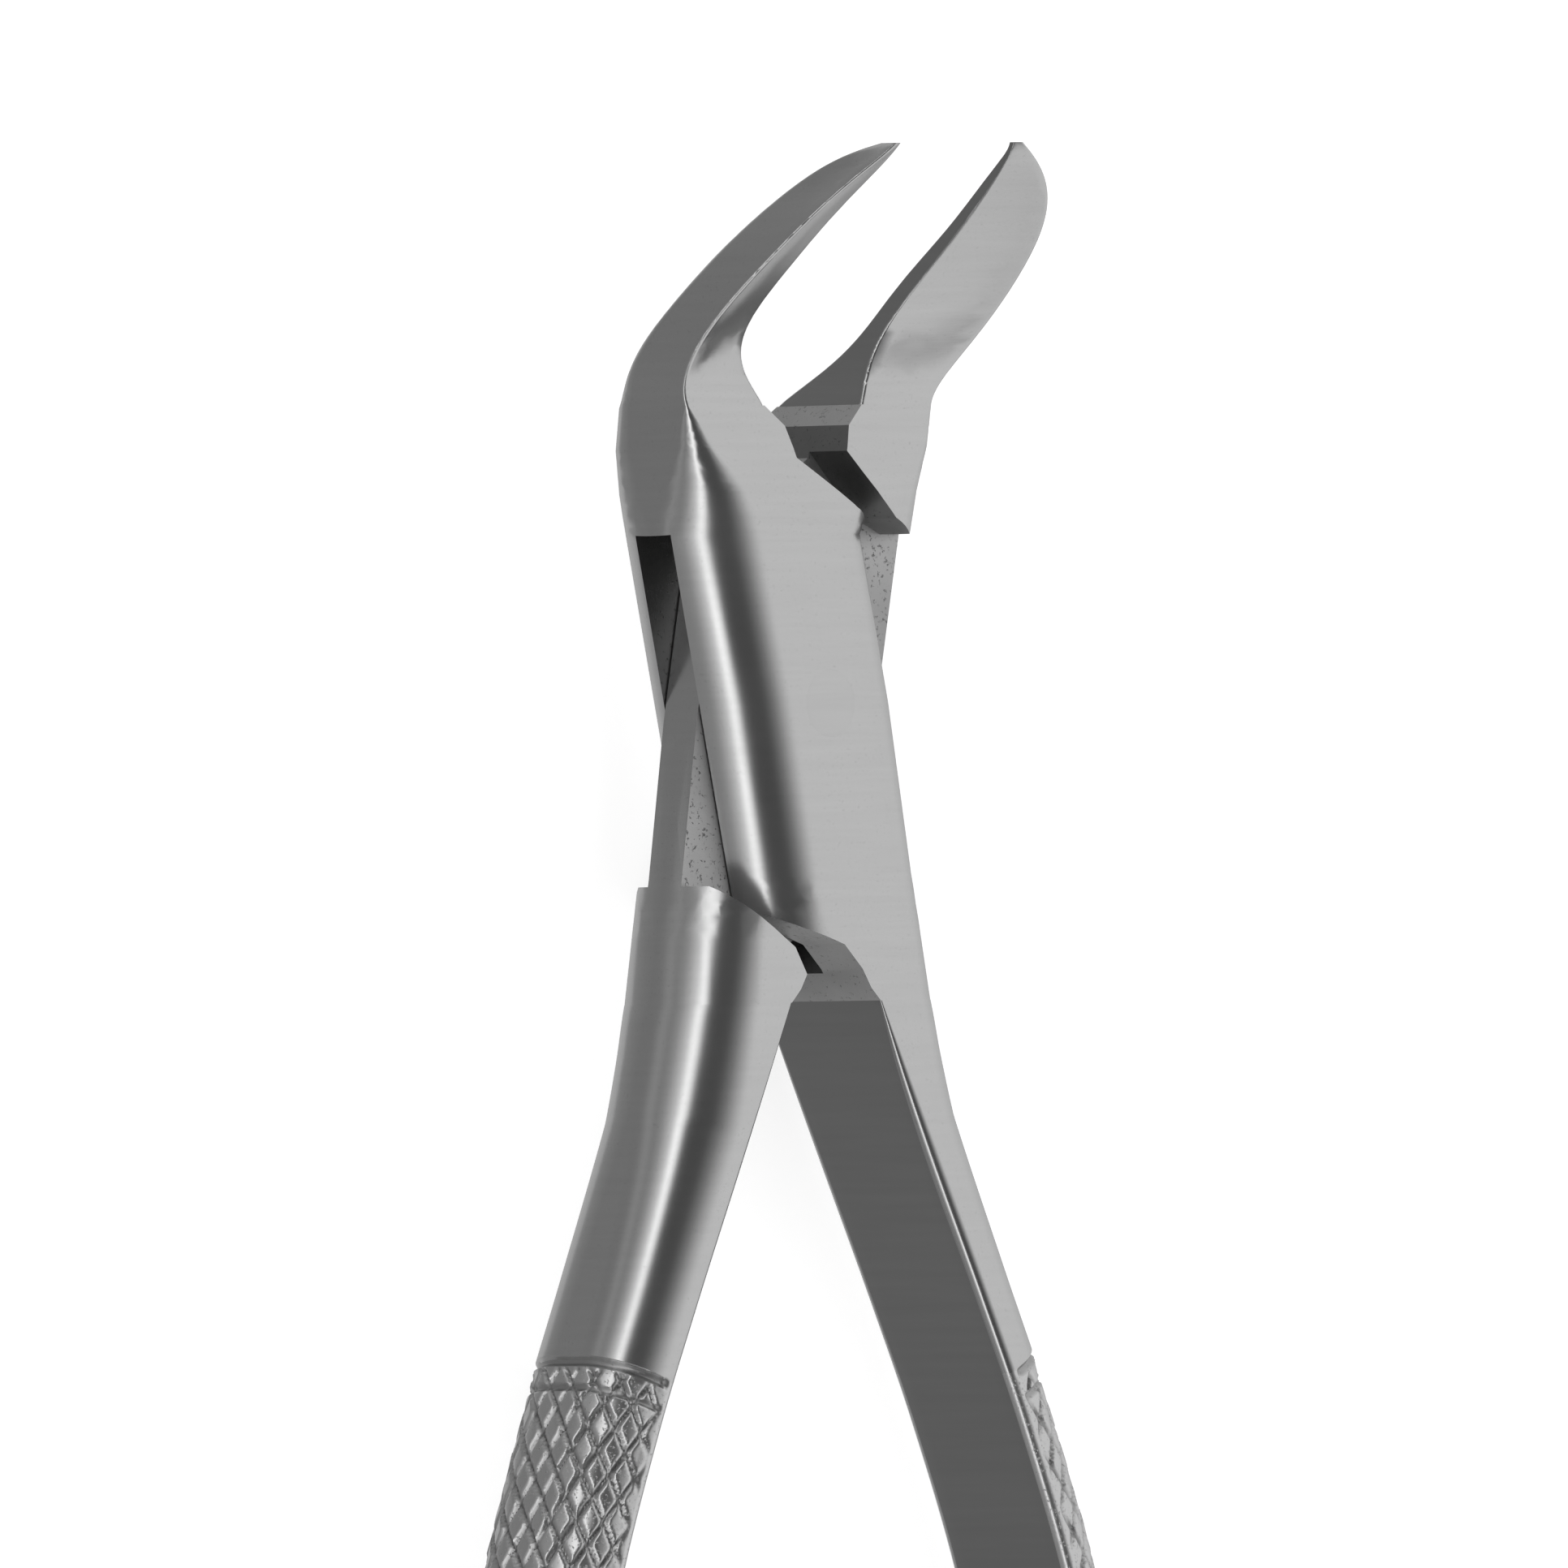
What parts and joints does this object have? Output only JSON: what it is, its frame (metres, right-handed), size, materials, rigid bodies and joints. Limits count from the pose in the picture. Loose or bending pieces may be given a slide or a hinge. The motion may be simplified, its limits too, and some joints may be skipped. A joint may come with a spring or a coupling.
{
  "type": "extraction forceps",
  "caption": "Dental extraction forceps with a box joint, upturned wedge beaks, ring grooves and knurled D-section handles.",
  "frame": {"origin": "where the hinge axis meets the back face of the joint, on which the forceps lie", "axes": "+Z along the hinge axis, from the back face to the front face, the side the beaks rise to; +Y towards the beak tips; +X towards the right beak, which belongs to the tongue lever"},
  "size_m": [0.0674, 0.1712, 0.0249],
  "materials": {
    "satin_steel": "satin",
    "rivet_steel": "satin"
  },
  "bodies": {
    "box_lever": {"box_half": "satin_steel", "pivot_pin": "rivet_steel"},
    "tongue_lever": {"tongue_half": "satin_steel"}
  },
  "joints": [
    {"name": "box_joint", "type": "hinge", "parent": "box_lever", "child": "tongue_lever", "pos_m": [0, 0, 0.0057], "axis": [0, 0, 1], "range_deg": [-7, 14.5]}
  ]
}
